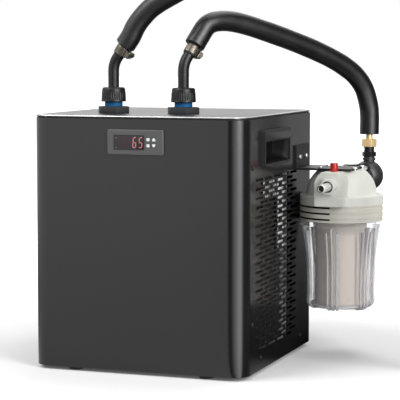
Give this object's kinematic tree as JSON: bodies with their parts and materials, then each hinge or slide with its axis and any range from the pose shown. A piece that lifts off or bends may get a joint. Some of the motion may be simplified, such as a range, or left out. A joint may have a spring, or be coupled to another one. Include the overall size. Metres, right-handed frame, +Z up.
{
  "type": "ice bath chiller",
  "caption": "Cabinet water chiller with a digital controller, vented side panels, hose unions on the lid, insulated hoses and a clear cartridge filter on a side bracket.",
  "frame": {"origin": "middle of the rigid object's box, hoses left out, on the plane that the feet stand on", "axes": "+Z up; the controller on the front panel faces -Y; the vented panel with the filter is on the +X side"},
  "size_m": [0.8369, 0.4061, 0.5959],
  "materials": {
    "cabinet_paint": "dark grey powder coat, semi gloss",
    "lid_paint": "dark grey powder coat, semi gloss",
    "pan_paint": "black powder coat",
    "foot_rubber": "moulded rubber",
    "black_screw": "blackened steel",
    "handle_plastic": "fine grained",
    "controller_plastic": "fine grained",
    "display_glass": "smoked window",
    "key_white": "smooth",
    "fitting_black": "moulded",
    "ring_blue": "moulded rubber",
    "washer_white": "smooth",
    "hose_rubber": "smooth hose",
    "foam_black": "closed cell foam",
    "stainless": "brushed",
    "brass": "machined",
    "valve_plastic": "moulded",
    "bracket_paint": "black powder coat",
    "cap_plastic": "moulded",
    "button_red": "moulded",
    "clear_plastic": "clear moulded plastic",
    "cartridge_media": "wound fibre",
    "inlet_plastic": "moulded",
    "compressor_paint": "black enamel",
    "condenser_fins": "bare fins",
    "galvanised": "galvanised sheet",
    "motor_grey": "enamel",
    "fan_plastic": "moulded",
    "tank_foam": "foam lagging",
    "pipe_plastic": "smooth",
    "copper": "drawn copper"
  },
  "bodies": {
    "cabinet": {"base_pan": "pan_paint", "feet": "foot_rubber", "front_cover": "cabinet_paint", "top_cover": "lid_paint", "left_panel": "cabinet_paint", "right_panel": "cabinet_paint", "rear_panel": "cabinet_paint", "panel_screws": "black_screw", "handle_left": "handle_plastic", "handle_right": "handle_plastic", "controller_case": "controller_plastic", "controller_clips": "controller_plastic", "display_window": "display_glass", "bulkhead_left": "fitting_black", "bulkhead_right": "fitting_black", "lock_nuts": "fitting_black", "seal_ring_left": "ring_blue", "seal_ring_right": "ring_blue", "elbow_tail_left": "fitting_black", "elbow_tail_right": "fitting_black", "hose_ends": "hose_rubber", "hose_clamp_left": "stainless", "hose_clamp_right": "stainless", "filter_hose": "foam_black", "outlet_hose": "foam_black", "outlet_hose_coil": "foam_black", "hose_connector": "brass", "brass_connector": "brass", "swivel_nut": "fitting_black", "outlet_valve": "valve_plastic", "filter_bracket": "bracket_paint", "bracket_screws": "stainless", "filter_cap": "cap_plastic", "inlet_fitting": "inlet_plastic", "compressor": "compressor_paint", "compressor_mounts": "foot_rubber", "condenser": "condenser_fins", "fan_shroud": "galvanised", "fan_motor": "motor_grey", "chiller_tank": "tank_foam", "water_pipes": "pipe_plastic", "copper_lines": "copper", "electrics_box": "galvanised", "power_inlet": "fitting_black"},
    "fan": {"fan_blade": "fan_plastic"},
    "cartridge": {"filter_cartridge": "cartridge_media", "bowl_seal": "foot_rubber"},
    "bowl": {"filter_bowl": "clear_plastic"},
    "relief_button": {"relief_button": "button_red"},
    "key_set": {"key_set": "key_white"},
    "key_up": {"key_up": "key_white"},
    "key_power": {"key_power": "key_white"},
    "key_down": {"key_down": "key_white"},
    "washer_left": {"slip_washer_left": "washer_white"},
    "nut_left": {"union_nut_left": "fitting_black"},
    "washer_right": {"slip_washer_right": "washer_white"},
    "nut_right": {"union_nut_right": "fitting_black"},
    "lever": {"valve_lever": "black_screw", "valve_ball": "stainless"}
  },
  "joints": [
    {"name": "fan_spin", "type": "hinge", "parent": "cabinet", "child": "fan", "pos_m": [0.02825, -0.06145, 0.15], "axis": [1, 0, 0], "continuous": true},
    {"name": "bowl_drop", "type": "slide", "parent": "cabinet", "child": "cartridge", "axis": [0, 0, -1], "range_m": [0, 0.024]},
    {"name": "bowl_turn", "type": "hinge", "parent": "cartridge", "child": "bowl", "pos_m": [0.16025, 0.07155, 0.12], "axis": [0, 0, -1], "range_deg": [0, 1081]},
    {"name": "relief_press", "type": "slide", "parent": "cabinet", "child": "relief_button", "axis": [0, 0, -1], "range_m": [0, 0.002], "stiffness_N_per_m": 600, "springref_m": -0.001},
    {"name": "key_set_press", "type": "slide", "parent": "cabinet", "child": "key_set", "axis": [0, 1, 0], "range_m": [0, 0.0008], "stiffness_N_per_m": 500, "springref_m": -0.0006},
    {"name": "key_up_press", "type": "slide", "parent": "cabinet", "child": "key_up", "axis": [0, 1, 0], "range_m": [0, 0.0008], "stiffness_N_per_m": 500, "springref_m": -0.0006},
    {"name": "key_power_press", "type": "slide", "parent": "cabinet", "child": "key_power", "axis": [0, 1, 0], "range_m": [0, 0.0008], "stiffness_N_per_m": 500, "springref_m": -0.0006},
    {"name": "key_down_press", "type": "slide", "parent": "cabinet", "child": "key_down", "axis": [0, 1, 0], "range_m": [0, 0.0008], "stiffness_N_per_m": 500, "springref_m": -0.0006},
    {"name": "nut_left_rise", "type": "slide", "parent": "cabinet", "child": "washer_left", "axis": [0, 0, 1], "range_m": [0, 0.009]},
    {"name": "nut_left_turn", "type": "hinge", "parent": "washer_left", "child": "nut_left", "pos_m": [-0.12975, -0.08645, 0.378], "axis": [0, 0, 1], "range_deg": [0, 1081]},
    {"name": "nut_right_rise", "type": "slide", "parent": "cabinet", "child": "washer_right", "axis": [0, 0, 1], "range_m": [0, 0.009]},
    {"name": "nut_right_turn", "type": "hinge", "parent": "washer_right", "child": "nut_right", "pos_m": [-0.02475, -0.08645, 0.378], "axis": [0, 0, 1], "range_deg": [0, 1081]},
    {"name": "valve_turn", "type": "hinge", "parent": "cabinet", "child": "lever", "pos_m": [0.17625, 0.15005, 0.2652], "axis": [0, 1, 0], "range_deg": [0, 90]}
  ],
  "couplings": [
    {"joint": "bowl_turn", "follows": "bowl_drop", "rad_per_m": 785.4},
    {"joint": "nut_left_turn", "follows": "nut_left_rise", "rad_per_m": 2094.4},
    {"joint": "nut_right_turn", "follows": "nut_right_rise", "rad_per_m": 2094.4}
  ]
}
